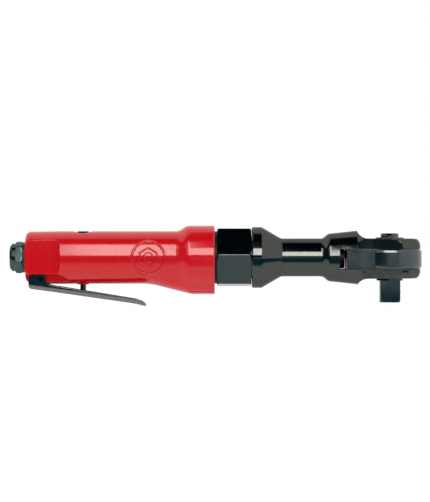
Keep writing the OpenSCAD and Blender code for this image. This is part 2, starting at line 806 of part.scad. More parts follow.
// Double-ended pawl with teeth at both ends and a hollow back for the plunger.
module drive_pawl() {
    tooth = 360 / yoke_teeth;
    teeth = 3;
    end_a = 50;
    tip_r = 11.3;
    outer = concat(
        [for (i = [0:teeth - 1]) for (side = [0, 0.5])
            let(a = (i + side) * tooth - end_a, r = side == 0 ? tip_r : tip_r - 0.8)
            r * [cos(a), sin(a)]],
        arc([0, 0], 9.8, -end_a + teeth * tooth, end_a - teeth * tooth),
        [for (i = [teeth - 1:-1:0]) for (side = [0.5, 0])
            let(a = end_a - (i + side) * tooth, r = side == 0 ? tip_r : tip_r - 0.8)
            r * [cos(a), sin(a)]]
    );
    color("gainsboro") at_pawl() difference() {
        translate([0, 0, pawl_z[0]]) linear_extrude(pawl_z[1] - pawl_z[0])
            polygon(concat(outer, [[5.2, 6.6]], arc([0, 0], 5, 42, -42), [[5.2, -6.6]]));
        translate([pawl_pivot, 0, 0]) post(pawl_z[0] - cut, pawl_z[1] + cut, 1.5 + run_gap);
    }
}

module pawl_pin() {
    color("lightsteelblue") translate([drive_x + pawl_pivot, 0, 0])
        post(pawl_z[0] - 2, pawl_z[1] + 1.8, 1.5);
}

// Turns a piece of the reverse knob to its rest position at one stop.
module at_knob() {
    translate([drive_x, 0, 0]) rotate([0, 0, -knob_half_turn]) children();
}

// Spring plunger that rocks the pawl over when the knob turns.
module pawl_plunger() {
    color("gainsboro") at_knob() translate([0.3, 0, -1]) rotate([0, 90, 0]) union() {
        cylinder(h = 3.4, r = 1);
        translate([0, 0, 3.2]) cylinder(h = 0.8, r1 = 1, r2 = 0.5);
    }
}

module pawl_spring() {
    color("lightsteelblue") at_knob() translate([-2.15, 0, -1]) rotate([0, 90, 0])
        coil_spring(2.4, 0.75, 0.18, 4);
}

// Reverse knob: a round disc with two finger hollows that leave a bar across its top.
module reverse_knob() {
    disc_z = fork_top_z + 0.8;
    color("#4a5558") at_knob() difference() {
        union() {
            post(-4.6, disc_z + cut, knob_stem_r);
            rotate_extrude() polygon([
                [0, disc_z], [knob_r, disc_z], [knob_r, knob_top_z - 0.7],
                [knob_r - 0.7, knob_top_z], [0, knob_top_z]
            ]);
        }
        for (side = [-1, 1]) translate([0, side * (knob_r + 1.2), disc_z + 0.9])
            cylinder(h = 5, r = 4.2);
        translate([-2.2, 0, -1]) rotate([0, 90, 0]) cylinder(h = 10, r = 1 + fit_gap);
    }
}

module socket_ball() {
    color("gainsboro") translate([drive_x + square_size / 2 - 1.2, 0, ball_z]) sphere(r = ball_r);
}

module socket_ball_spring() {
    color("lightsteelblue") translate([drive_x + 0.55, 0, ball_z]) rotate([0, 90, 0])
        coil_spring(2.55, 1.4, 0.25, 3);
}

// ---------------------------------------------------------------- placing

inlet_bushing();
inlet_seal();
inlet_screen();
motor_housing();
valve_seat();
stem_bushing();
valve_cap();
valve_cap_seal();
throttle_spring();
throttle_valve();
valve_stem();
lever_pin();
throttle_lever();
rear_end_plate();
rear_bearing_outer_race();
rear_bearing_balls();
rear_bearing_inner_race();
cylinder_liner();
cylinder_dowel();
rotor();
rotor_blades();
front_end_plate();
front_bearing_outer_race();
front_bearing_balls();
front_bearing_inner_race();
exhaust_muffler();
gear_case();
planet_gear_1();
planet_gear_2();
planet_gear_3();
planet_pins();
crankshaft();
crank_thrust_washer();
crank_bushings();
crank_roller();
clamp_nut();
nut_retaining_ring();
ratchet_head();
ratchet_yoke();
drive_spindle();
drive_thrust_washer();
drive_retaining_ring();
drive_top_washer();
drive_pawl();
pawl_pin();
pawl_plunger();
pawl_spring();
reverse_knob();
socket_ball();
socket_ball_spring();
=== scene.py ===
import logging
import math
from dataclasses import dataclass, replace
from enum import Enum
from typing import Any, Callable

import bpy
import numpy as np
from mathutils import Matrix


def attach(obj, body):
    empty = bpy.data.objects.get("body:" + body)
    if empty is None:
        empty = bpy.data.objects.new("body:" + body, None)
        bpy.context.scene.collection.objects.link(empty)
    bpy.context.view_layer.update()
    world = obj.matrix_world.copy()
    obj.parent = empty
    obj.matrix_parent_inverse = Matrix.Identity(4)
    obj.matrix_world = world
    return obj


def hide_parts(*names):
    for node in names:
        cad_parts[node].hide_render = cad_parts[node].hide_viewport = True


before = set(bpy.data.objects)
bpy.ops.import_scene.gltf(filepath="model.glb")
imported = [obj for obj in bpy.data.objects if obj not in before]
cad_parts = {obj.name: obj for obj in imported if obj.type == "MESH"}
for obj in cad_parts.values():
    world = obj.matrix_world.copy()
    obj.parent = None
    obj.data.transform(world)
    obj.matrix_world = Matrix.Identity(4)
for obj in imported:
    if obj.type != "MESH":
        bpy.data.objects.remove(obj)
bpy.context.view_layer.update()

MM = 0.001
HALF_FACE = math.radians(30)
LOG = logging.getLogger("air_ratchet")


class Slot(Enum):
    """The record's material slots."""

    ENAMEL = "red_enamel"
    OXIDE = "black_oxide"
    LEVER = "black_lever"
    # near-black matt finish that paints shade on parts lying in shadow
    PHOSPHATE = "black_phosphate"
    PLATED = "plated_steel"
    SATIN = "satin_steel"
    BRIGHT = "bright_steel"
    SPRING = "spring_steel"
    CAST = "cast_aluminium"
    BRONZE = "bronze"
    MESH = "brass_mesh"
    RUBBER = "black_rubber"
    LAMINATE = "blade_laminate"
    FELT = "felt"


class Lay(Enum):
    """Which way the tool marks of a metal run."""

    RINGS = "rings round the tool's axis"
    BRUSHED = "straight along the tool's axis"
    NONE = "no direction"


# ------------------------------------------------------------------ surfaces on a grid


def smooth_max(a: np.ndarray, b: np.ndarray, blend: float) -> np.ndarray:
    """The larger of two radii, with their crossing rounded.

    Formula: max(a, b) + h^2 * blend / 4, where h falls from 1 to 0 as |a - b| grows to blend.

    Args:
        a, b: radii to join.
        blend: difference at which the rounding starts.

    Returns:
        The blended radius.
    """
    h = np.clip(1 - np.abs(a - b) / blend, 0, None)
    return np.maximum(a, b) + h * h * blend / 4


def smooth_min(a: np.ndarray, b: np.ndarray, blend: float) -> np.ndarray:
    """The smaller of two radii, with their crossing rounded as in smooth_max."""
    return -smooth_max(-a, -b, blend)


def stations(*spans: tuple[float, float, float]) -> np.ndarray:
    """Places along a line, closer together where the shape needs it.

    Args:
        spans: (start, end, step) of each stretch.

    Returns:
        Sorted places without doubles.
    """
    parts = [np.linspace(a, b, max(2, round((b - a) / step) + 1)) for a, b, step in spans]
    return np.unique(np.round(np.concatenate(parts), 5))


def polar_points(x: np.ndarray, r: np.ndarray, angle: np.ndarray) -> np.ndarray:
    """Points round the tool's axis.

    Formula: the point at station x and angle a is (x, r cos a, r sin a).

    Args:
        x: stations, one per row or one per point, in millimetres.
        r: radius at each row and column, in millimetres.
        angle: angle of each column, in radians.

    Returns:
        Points with the shape (rows, columns, 3).
    """
    r = np.broadcast_to(r, (r.shape[0], angle.size))
    x = np.broadcast_to(x if x.ndim == 2 else x[:, None], r.shape)
    return np.stack([x, r * np.cos(angle), r * np.sin(angle)], -1)


def hexagon_angles(turn: float, flat: float) -> np.ndarray:
    """Angles of the columns of a hexagon whose corners are cut to narrow flats.

    Args:
        turn: angle of a corner in degrees.
        flat: half of each flat's angle in degrees.

    Returns:
        Thirteen angles to a face, in radians, with one at each end of every flat.
    """
    within = np.concatenate([[-flat, flat], np.linspace(5, 55, 11)])
    return np.radians(np.arange(6)[:, None] * 60 + within + turn).ravel()


def from_face_middle(angle: np.ndarray, turn: float) -> np.ndarray:
    """Angle of each column from the middle of its hexagon face, with a corner at turn degrees."""
    sector = np.radians(60)
    return np.abs((angle - np.radians(turn)) % sector - sector / 2)


@dataclass
class Patch:
    """A grid of points, in millimetres, that becomes part of a mesh."""

    points: np.ndarray
    wrap_rows: bool = False
    end_strips: bool = False
    turn_over: bool = False

    def faces(self, first: int) -> list[np.ndarray]:
        """Quads between neighbouring grid points, and a strip over each end if wanted.

        A strip joins the first half of the end row to the second half, which runs back beside it.

        Args:
            first: number of the patch's first vertex in the mesh.

        Returns:
            Arrays of vertex numbers, four to a face.
        """
        rows, columns = self.points.shape[:2]
        i = np.arange(rows if self.wrap_rows else rows - 1)[:, None]
        j = np.arange(columns)[None, :]
        i2, j2 = (i + 1) % rows, (j + 1) % columns
        quads = np.stack([i * columns + j, i * columns + j2, i2 * columns + j2, i2 * columns + j], -1)
        made = [quads.reshape(-1, 4) + first]
        if self.end_strips:
            j = np.arange(columns // 2 - 1)
            strip = np.stack([j, j + 1, columns - 2 - j, columns - 1 - j], 1) + first
            made += [strip, strip[:, ::-1] + (rows - 1) * columns]
        return [f[:, ::-1] for f in made] if self.turn_over else made


def build_piece(name: str, patches: list[Patch], body: str, sharp: float = 32) -> bpy.types.Object:
    """Makes one mesh piece from grids and lets it ride on its body.

    Args:
        name: name of the piece.
        patches: its grids, in millimetres.
        body: the CAD body that it moves with.
        sharp: edges that turn by more than this, in degrees, stay crisp.

    Returns:
        The new object, at the origin.
    """
    vertices: list[np.ndarray] = []
    faces: list[list[int]] = []
    count = 0
    for patch in patches:
        for block in patch.faces(count):
            faces.extend(block.tolist())
        vertices.append(patch.points.reshape(-1, 3))
        count += len(vertices[-1])
    mesh = bpy.data.meshes.new(name)
    mesh.from_pydata((np.concatenate(vertices) * MM).tolist(), [], faces)
    mesh.validate()
    mesh.polygons.foreach_set("use_smooth", np.ones(len(mesh.polygons), bool))
    mesh.set_sharp_from_angle(angle=math.radians(sharp))
    piece = bpy.data.objects.new(name, mesh)
    bpy.context.scene.collection.objects.link(piece)
    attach(piece, body)
    return piece


# ------------------------------------------------------------------ shader building


@dataclass
class Wiring:
    """A node tree under construction."""

    tree: bpy.types.NodeTree

    def add(self, kind: str, inputs: dict[Any, Any] | None = None, **settings: Any) -> bpy.types.Node:
        """Adds one node.

        Args:
            kind: the node's type, without ShaderNode.
            inputs: values or sockets to link, by input name or number.
            settings: the node's own settings.

        Returns:
            The new node.
        """
        prefix = "" if kind.startswith("NodeGroup") else "ShaderNode"
        node = self.tree.nodes.new(prefix + kind)
        for key, value in settings.items():
            setattr(node, key, value)
        for key, value in (inputs or {}).items():
            if isinstance(value, bpy.types.NodeSocket):
                self.tree.links.new(value, node.inputs[key])
            else:
                node.inputs[key].default_value = value
        return node

    def maths(self, operation: str, a: Any, b: Any = 0.0) -> bpy.types.NodeSocket:
        """The result of a Math node on two numbers or sockets."""
        return self.add("Math", {0: a, 1: b}, operation=operation).outputs[0]

    def ramp(self, value: Any, low: float, high: float, to_low: float = 0,
             to_high: float = 1) -> bpy.types.NodeSocket:
        """The value carried smoothly from the range low..high to to_low..to_high."""
        node = self.add("MapRange", {"Value": value, "From Min": low, "From Max": high,
                                     "To Min": to_low, "To Max": to_high},
                        interpolation_type="SMOOTHSTEP")
        return node.outputs["Result"]

    def mix(self, factor: Any, a: Any, b: Any) -> bpy.types.NodeSocket:
        """Two colours mixed by a factor."""
        node = self.add("Mix", data_type="RGBA")
        for number, value in ((0, factor), (6, a), (7, b)):
            if isinstance(value, bpy.types.NodeSocket):
                self.tree.links.new(value, node.inputs[number])
            else:
                node.inputs[number].default_value = value
        return node.outputs[2]


def new_group(name: str, inputs: dict[str, float | tuple], outputs: dict[str, str]) -> tuple[Wiring, Any, Any]:
    """Starts a shared node group.

    Args:
        name: the group's name.
        inputs: default value by input name; a tuple makes a vector input.
        outputs: socket type by output name.

    Returns:
        The group's wiring, its input node and its output node.
    """
    tree = bpy.data.node_groups.new(name, "ShaderNodeTree")
    for key, value in inputs.items():
        kind = "NodeSocketVector" if isinstance(value, tuple) else "NodeSocketFloat"
        socket = tree.interface.new_socket(key, in_out="INPUT", socket_type=kind)
        socket.default_value = value
    for key, kind in outputs.items():
        tree.interface.new_socket(key, in_out="OUTPUT", socket_type=kind)
    wiring = Wiring(tree)
    return wiring, wiring.add("NodeGroupInput"), wiring.add("NodeGroupOutput")


class Effects:
    """Node groups that more than one finish uses, each built once."""

    def __init__(self) -> None:
        """Builds the groups."""
        self.grain = self._grain()
        self.handling = self._handling()
        self.tool_marks = self._tool_marks()
        self.soft_edge = self._soft_edge()

    def _grain(self) -> bpy.types.NodeTree:
        """Fine surface grain: coarse noise and noise five times finer, added three to one."""
        w, i, o = new_group("surface grain", {"Vector": (0, 0, 0), "Scale": 400.0},
                            {"Height": "NodeSocketFloat", "Mask": "NodeSocketFloat"})
        fine_scale = w.maths("MULTIPLY", i.outputs["Scale"], 5.0)
        coarse = w.add("TexNoise", {"Vector": i.outputs["Vector"], "Scale": i.outputs["Scale"], "Detail": 3.0})
        fine = w.add("TexNoise", {"Vector": i.outputs["Vector"], "Scale": fine_scale, "Detail": 2.0})
        height = w.maths("ADD", w.maths("MULTIPLY", coarse.outputs[0], 0.75),
                         w.maths("MULTIPLY", fine.outputs[0], 0.25))
        w.tree.links.new(height, o.inputs["Height"])
        w.tree.links.new(w.ramp(coarse.outputs[0], 0.35, 0.65), o.inputs["Mask"])
        return w.tree

    def _handling(self) -> bpy.types.NodeTree:
        """Marks of handling: soft cloudy smudges, and thin scratches where a stretched noise peaks."""
        w, i, o = new_group("handling marks", {"Vector": (0, 0, 0), "Scale": 60.0},
                            {"Smudge": "NodeSocketFloat", "Scratch": "NodeSocketFloat"})
        smudge = w.add("TexNoise", {"Vector": i.outputs["Vector"], "Scale": i.outputs["Scale"],
                                    "Detail": 4.0, "Distortion": 0.6})
        turned = w.add("Mapping", {"Vector": i.outputs["Vector"], "Rotation": (0.3, 0.5, 0.7),
                                   "Scale": (900.0, 60.0, 60.0)})
        scratch = w.add("TexNoise", {"Vector": turned.outputs[0], "Scale": 1.0, "Detail": 1.0})
        w.tree.links.new(w.ramp(smudge.outputs[0], 0.4, 0.65), o.inputs["Smudge"])
        w.tree.links.new(w.ramp(scratch.outputs[0], 0.68, 0.74), o.inputs["Scratch"])
        return w.tree

    def _tool_marks(self) -> bpy.types.NodeTree:
        """Tool marks: noise squeezed by a scale on each axis, so that it draws out into lines."""
        w, i, o = new_group("tool marks", {"Vector": (0, 0, 0), "Stretch": (3000.0, 20.0, 20.0)},
                            {"Height": "NodeSocketFloat"})
        squeezed = w.add("VectorMath", {0: i.outputs["Vector"], 1: i.outputs["Stretch"]}, operation="MULTIPLY")
        lines = w.add("TexNoise", {"Vector": squeezed.outputs[0], "Scale": 1.0, "Detail": 3.0})
        w.tree.links.new(lines.outputs[0], o.inputs["Height"])
        return w.tree

    def _soft_edge(self) -> bpy.types.NodeTree:
        """A normal that rounds every crisp edge by a small radius, as a deburred edge is."""
        w, i, o = new_group("soft edge", {"Radius": 0.0003}, {"Normal": "NodeSocketVector"})
        bevel = w.add("Bevel", {"Radius": i.outputs["Radius"]}, samples=4)
        w.tree.links.new(bevel.outputs[0], o.inputs["Normal"])
        return w.tree


@dataclass(frozen=True)
class Finish:
    """A procedural finish: two tones, a gloss range and a relief made of grain and tool marks."""

    tone: tuple[float, float, float]
    second_tone: tuple[float, float, float]
    metallic: float = 1.0
    gloss: tuple[float, float] = (0.16, 0.26)
    grain_scale: float = 500.0
    grain_depth: float = 0.000004
    mark_depth: float = 0.0
    lay: Lay = Lay.NONE
    edge_radius: float = 0.0003
    specular: float = 0.5
    rim: float = 1.0

    def make(self, name: str, effects: Effects) -> bpy.types.Material:
        """Builds the material.

        Args:
            name: the material's name.
            effects: the shared node groups.

        Returns:
            The material, ready for a piece or a CAD node.
        """
        material = bpy.data.materials.new(name)
        material.use_nodes = True
        material.node_tree.nodes.clear()
        w = Wiring(material.node_tree)
        place = w.add("TexCoord").outputs["Object"]
        grain = w.add("Group", node_tree=effects.grain)
        w.tree.links.new(place, grain.inputs["Vector"])
        grain.inputs["Scale"].default_value = self.grain_scale
        handling = w.add("Group", node_tree=effects.handling)
        w.tree.links.new(place, handling.inputs["Vector"])
        edge = w.add("Group", node_tree=effects.soft_edge)
        edge.inputs["Radius"].default_value = self.edge_radius
        colour = w.mix(grain.outputs["Mask"], (*self.tone, 1), (*self.second_tone, 1))
        low, high = self.gloss
        rough = w.maths("ADD", w.ramp(handling.outputs["Smudge"], 0, 1, low, high),
                        w.maths("MULTIPLY", handling.outputs["Scratch"], (high - low) * 0.5))
        normal = w.add("Bump", {"Height": grain.outputs["Height"], "Normal": edge.outputs["Normal"],
                                "Distance": self.grain_depth, "Strength": 1.0}).outputs[0]
        if self.lay is not Lay.NONE:
            marks = w.add("Group", node_tree=effects.tool_marks)
            w.tree.links.new(place, marks.inputs["Vector"])
            rings = self.lay is Lay.RINGS
            marks.inputs["Stretch"].default_value = (4000, 30, 30) if rings else (40, 2500, 2500)
            normal = w.add("Bump", {"Height": marks.outputs["Height"], "Normal": normal,
                                    "Distance": self.mark_depth, "Strength": 1.0}).outputs[0]
        shader = w.add("BsdfPrincipled", {
            "Base Color": colour, "Roughness": rough, "Normal": normal, "Metallic": self.metallic,
            "Specular IOR Level": self.specular, "Specular Tint": (self.rim, self.rim, self.rim, 1),
        })
        w.add("OutputMaterial", {"Surface": shader.outputs[0]})
        return material


FINISHES: dict[Slot, Finish] = {
    Slot.ENAMEL: Finish((0.575, 0.0022, 0.0075), (0.545, 0.0018, 0.0065), metallic=0, gloss=(0.1, 0.13),
                        grain_scale=260, grain_depth=0.000005, edge_radius=0.0005, specular=0.5),
    Slot.OXIDE: Finish((0.078, 0.082, 0.074), (0.064, 0.069, 0.064), gloss=(0.08, 0.12), grain_scale=700,
                       grain_depth=0.000002, mark_depth=0.0000006, lay=Lay.RINGS, edge_radius=0.0004, rim=0.6),
    Slot.LEVER: Finish((0.2, 0.2, 0.19), (0.17, 0.172, 0.166), gloss=(0.1, 0.15), grain_scale=900,
                       grain_depth=0.000004, edge_radius=0.0002),
    # Near-black matt finish that paints shade: the slot films, the crank parts in the slot and the gear case's
    # flange in the gap behind the nut.
    Slot.PHOSPHATE: Finish((0.006, 0.007, 0.008), (0.01, 0.011, 0.012), metallic=0, gloss=(0.45, 0.6),
                           grain_scale=1600, grain_depth=0.000006, edge_radius=0.0002, specular=0.2),
    Slot.PLATED: Finish((0.075, 0.1, 0.1), (0.062, 0.086, 0.086), gloss=(0.1, 0.15), grain_scale=600,
                        mark_depth=0.0000008, lay=Lay.RINGS, edge_radius=0.0003, rim=0.6),
    Slot.SATIN: Finish((0.092, 0.108, 0.112), (0.08, 0.094, 0.098), gloss=(0.18, 0.22), grain_scale=800,
                       mark_depth=0.0000006, lay=Lay.BRUSHED, edge_radius=0.0003),
    Slot.BRIGHT: Finish((0.62, 0.62, 0.61), (0.54, 0.545, 0.54), gloss=(0.12, 0.22), grain_scale=900,
                        mark_depth=0.000001, lay=Lay.RINGS, edge_radius=0.00015),
    Slot.SPRING: Finish((0.36, 0.36, 0.37), (0.27, 0.27, 0.28), gloss=(0.2, 0.34), grain_scale=1500,
                        grain_depth=0.000002, edge_radius=0.0001),
    Slot.CAST: Finish((0.5, 0.51, 0.52), (0.4, 0.41, 0.42), gloss=(0.34, 0.5), grain_scale=900,
                      grain_depth=0.00001, edge_radius=0.0003),
    Slot.BRONZE: Finish((0.5, 0.3, 0.13), (0.38, 0.22, 0.09), gloss=(0.28, 0.42), grain_scale=1400,
                        grain_depth=0.000006, edge_radius=0.0002),
    Slot.MESH: Finish((0.62, 0.45, 0.16), (0.48, 0.34, 0.12), gloss=(0.25, 0.4), grain_scale=2500,
                      grain_depth=0.00001, edge_radius=0.0001),
    Slot.RUBBER: Finish((0.014, 0.015, 0.016), (0.02, 0.021, 0.022), metallic=0, gloss=(0.5, 0.68),
                        grain_scale=1500, grain_depth=0.000008, edge_radius=0.0003),
    Slot.LAMINATE: Finish((0.16, 0.07, 0.03), (0.1, 0.042, 0.018), metallic=0, gloss=(0.4, 0.55),
                          grain_scale=800, mark_depth=0.000008, lay=Lay.BRUSHED, edge_radius=0.0001),
    Slot.FELT: Finish((0.07, 0.07, 0.072), (0.035, 0.035, 0.036), metallic=0, gloss=(0.8, 0.95),
                      grain_scale=3000, grain_depth=0.0001, edge_radius=0.0006),
}

# A darker copy of the oxide for the nut, the drive and the small pins: its teal tint is painted reflection of cool
# surroundings over the oxide's own tone.
PAINTED_TEAL_OXIDE = replace(FINISHES[Slot.OXIDE], tone=(0.05, 0.066, 0.068), second_tone=(0.042, 0.057, 0.059),
                     edge_radius=0.0001)
PAINTED_TEAL_NODES = ("drive_spindle", "valve_stem", "lever_pin")
# Crank parts inside the fork slot are drawn near-black instead of their own satin, bright and bronze finishes:
# painted shade in the slot.
SLOT_SHADE_NODES = ("crankshaft", "crank_roller", "crank_bushings")


class Paintbox:
    """Makes each finish once and puts it on pieces and CAD nodes."""

    def __init__(self) -> None:
        """Builds the shared groups and every finish."""
        effects = Effects()
        self.made = {slot: finish.make(slot.value + "_finish", effects) for slot, finish in FINISHES.items()}
        self.cool = PAINTED_TEAL_OXIDE.make("cool_oxide_finish", effects)

    def dress(self, piece: bpy.types.Object, slot: Slot) -> None:
        """Puts one finish on a new piece; the nut has the darker, teal-tinted oxide, whose tint is a painted
        reflection.
        """
        piece.data.materials.append(self.cool if slot is Slot.OXIDE else self.made[slot])

    def dress_nodes(self) -> int:
        """Puts each CAD node's finish in its own object's material slots.

        Returns:
            The number of CAD nodes dressed.
        """
        by_name = {slot.value: material for slot, material in self.made.items()}
        for name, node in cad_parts.items():
            for place in node.material_slots:
                wanted = place.material.name.split(".")[0] if place.material else Slot.BRIGHT.value
                place.link = "OBJECT"
                place.material = by_name.get(wanted, self.made[Slot.BRIGHT])
                # these nodes take the oxide with the painted teal reflection tint
                if name in PAINTED_TEAL_NODES:
                    place.material = self.cool
                # crank parts deep in the slot get the near-black finish as painted shade
                elif name in SLOT_SHADE_NODES:
                    place.material = self.made[Slot.PHOSPHATE]
        return len(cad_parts)


# ------------------------------------------------------------------ sub-assemblies


@dataclass
class GripHousing:
    """The enamelled motor housing: grip, flats, lever recess, exhaust swell and flared front."""

    rear_x: float = 9.9
    front_x: float = 129.4
    rear_r: float = 16.4
    grip_r: float = 16.7
    flare_r: float = 20.2
    corner_r: float = 3.2
    flat_half: float = 12.3
    flat_end_x: float = 28.6
    run_out_r: float = 3.5
    recess_z: float = 10.5
    recess_end_x: float = 29.0
    recess_run_r: float = 10.5
    lug_half: float = 5.9
    valve_x: float = 46.1
    spot_r: float = 6.2
    spot_z: float = 15.2
    boss_r: float = 3.8
    boss_z: float = 17.0
    swell_r: float = 13.0
    columns: int = 336

    def turned_radius(self, x: np.ndarray) -> np.ndarray:
        """Radius of the turned body: rounded rear corner, slow taper, cosine step up to the flare.

        Args:
            x: stations in millimetres.

        Returns:
            The radius at each station.
        """
        taper = np.interp(x, [self.rear_x + self.corner_r, 30], [self.rear_r, self.grip_r])
        t = np.clip((x - 104.9) / 8.4, 0, 1)
        flare = (self.flare_r - self.grip_r) * (1 - np.cos(np.pi * t)) / 2
        lead = np.clip(self.rear_x + self.corner_r - x, 0, self.corner_r)
        corner = self.corner_r - np.sqrt(self.corner_r**2 - lead**2)
        front = np.clip(x - (self.front_x - 0.6), 0, 0.6)
        return taper + flare - corner - front

    def swell_radius(self, x: np.ndarray, angle: np.ndarray) -> np.ndarray:
        """Distance from the tool's axis to a disc whose centre sinks along the grip.

        Formula: for a disc of radius s about (0, c), the distance at angle a is
        c sin a + sqrt(s^2 - c^2 cos^2 a).

        Args:
            x: stations as a column.
            angle: angles as a row.

        Returns:
            The swell's radius, or 0 where it has not begun.
        """
        t = np.clip((x - 86.5) / 28.5, 0, 1)
        ease = 0.8 * t + 0.2 * t * t * (3 - 2 * t)
        centre = -3.3 - 7.0 * np.minimum(t, ease)
        reach = centre * np.sin(angle) + np.sqrt(self.swell_r**2 - (centre * np.cos(angle)) ** 2)
        return np.where(x > 86.5, reach, 0)

    def radius(self, x: np.ndarray, angle: np.ndarray) -> np.ndarray:
        """Radius of the whole outside: the turned body and the swell joined, then each cut taken off.

        Args:
            x: stations.
            angle: angles of the columns.

        Returns:
            The radius at each station and angle.
        """
        x, a = x[:, None], angle[None, :]
        c, s = np.abs(np.cos(a)) + 1e-9, np.sin(a)
        up, down = np.where(s > 1e-6, s, 1e-6), np.where(s < -1e-6, -s, 1e-6)
        r = smooth_max(self.turned_radius(x) + 0 * a, self.swell_radius(x, a), 1.2)
        from_valve = np.abs(x - self.valve_x)
        in_boss = from_valve < self.boss_r
        boss_half = np.sqrt(np.clip(self.boss_r**2 - from_valve**2, 0, None))
        boss = np.where(in_boss & (s < -0.5), np.minimum(self.boss_z / down, boss_half / c), 0)
        r = np.maximum(r, boss)
        run = np.clip(x - self.flat_end_x, 0, self.run_out_r)
        flat = self.flat_half + self.run_out_r - np.sqrt(self.run_out_r**2 - run**2)
        flat = np.where(x > self.flat_end_x + self.run_out_r, 60, flat)
        r = smooth_min(r, flat / c, 0.35)
        run = np.clip(x - self.recess_end_x, 0, self.recess_run_r)
        floor = self.recess_z + self.recess_run_r - np.sqrt(self.recess_run_r**2 - run**2)
        recess = np.maximum(floor / down, self.lug_half / c)
        r = np.where(s < 0, smooth_min(r, recess, 0.4), r)
        spot_half = np.sqrt(np.clip(self.spot_r**2 - from_valve**2, 0, None))
        over_spot = (s > 0.5) & (self.spot_z * c / up < spot_half)
        return np.where(over_spot, np.minimum(r, self.spot_z / up), r)

    @staticmethod
    def corner_angles() -> np.ndarray:
        """Angles of the cuts' corners, so that a column runs along each of them."""
        y, z = np.array([[12.3, 5.9, 5.9, 12.3], [10.85, 10.5, 15.3, 10.5]])
        first = np.arctan2(z, y)
        return np.concatenate([first, np.pi - first, np.pi + first, 2 * np.pi - first])

    def build(self) -> bpy.types.Object:
        """Builds the shell as one closed loop: outside, front rim, bore and rear rim.

        Returns:
            The housing piece.
        """
        angle = np.unique(np.concatenate([
            np.linspace(0, 2 * np.pi, self.columns, endpoint=False),
            self.corner_angles(),
        ]))
        x = stations((9.9, 13.2, 0.25), (13.2, 28.6, 1.1), (28.6, 32.3, 0.18), (32.3, 39.8, 0.5),
                     (39.8, 42.4, 0.14), (42.4, 49.8, 0.3), (49.8, 52.4, 0.14), (52.4, 84, 2.2),
                     (84, 122, 0.6), (122, 128.6, 1.1), (128.6, 129.4, 0.2))
        outside = polar_points(x, self.radius(x, angle), angle)
        bore = np.array([[129.4, 14.9], [121, 14.9], [121, 14.3], [70, 14.3], [70, 12.5], [38.6, 12.5],
                         [36, 9.5], [24, 9.5], [24, 7.95], [9.9, 7.95]])
        inside = polar_points(bore[:, 0], bore[:, 1][:, None] * np.ones_like(angle), angle)
        shell = np.concatenate([outside, inside])
        piece = build_piece("housing_shell", [Patch(shell, wrap_rows=True, turn_over=True)],
                            "housing")
        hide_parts("motor_housing")
        return piece


@dataclass
class GripBadge:
    """Raised relief on the grip's side: a plain ring round the outline of a nut."""

    centre_x: float = 87.7
    ring_r: tuple[float, float] = (9.3, 11.2)
    nut_r: tuple[float, float] = (5.3, 6.9)
    hole_r: tuple[float, float] = (2.5, 3.5)
    grip_r: float = 16.7
    proud: float = 0.7

    def band(self, inner: Callable[[np.ndarray], np.ndarray], outer: Callable[[np.ndarray], np.ndarray],
             side: int) -> Patch:
        """A raised, rounded band between two outlines, laid on the round grip.

        Formula: at turn t and share s across the band, the flat radius is
        q = inner + (outer - inner) s, the point is (centre + q cos t, y, q sin t), and y is the
        grip's side, sqrt(R^2 - z^2), plus a height that rises from below the skin at both edges.

        Args:
            inner, outer: radius of each outline as a function of the turn.
            side: -1 for the front, 1 for the back.

        Returns:
            The band's grid.
        """
        turn = np.linspace(0, 2 * np.pi, 180, endpoint=False)
        share = np.array([0, 0.04, 0.12, 0.25, 0.4, 0.6, 0.75, 0.88, 0.96, 1])
        height = np.array([-0.6, 0, 0.45, 0.8, 1, 1, 0.8, 0.45, 0, -0.6]) * self.proud
        q = inner(turn)[:, None] + (outer(turn) - inner(turn))[:, None] * share
        z = q * np.sin(turn)[:, None]
        y = side * (np.sqrt(self.grip_r**2 - z**2) + height)
        points = np.stack([self.centre_x + q * np.cos(turn)[:, None], y, z], -1)
        return Patch(points, wrap_rows=True, turn_over=side > 0)

    def build(self) -> bpy.types.Object:
        """Builds the ring, the nut's hexagon and its hole on the camera's side of the grip."""
        def circle(r: float) -> Callable[[np.ndarray], np.ndarray]:
            """A round outline."""
            return lambda t: np.full_like(t, r)

        def hexagon(r: float) -> Callable[[np.ndarray], np.ndarray]:
            """A hexagon with softened corners, as the radius at each turn."""
            sector = math.pi / 3
            return lambda t: np.minimum(r * 0.866 / np.cos((t + sector / 2) % sector - sector / 2), r * 0.97)

        bands = [self.band(circle(self.ring_r[0]), circle(self.ring_r[1]), -1),
                 self.band(hexagon(self.nut_r[0]), hexagon(self.nut_r[1]), -1),
                 self.band(circle(self.hole_r[0]), circle(self.hole_r[1]), -1)]
        return build_piece("grip_badge", bands, "housing", sharp=50)


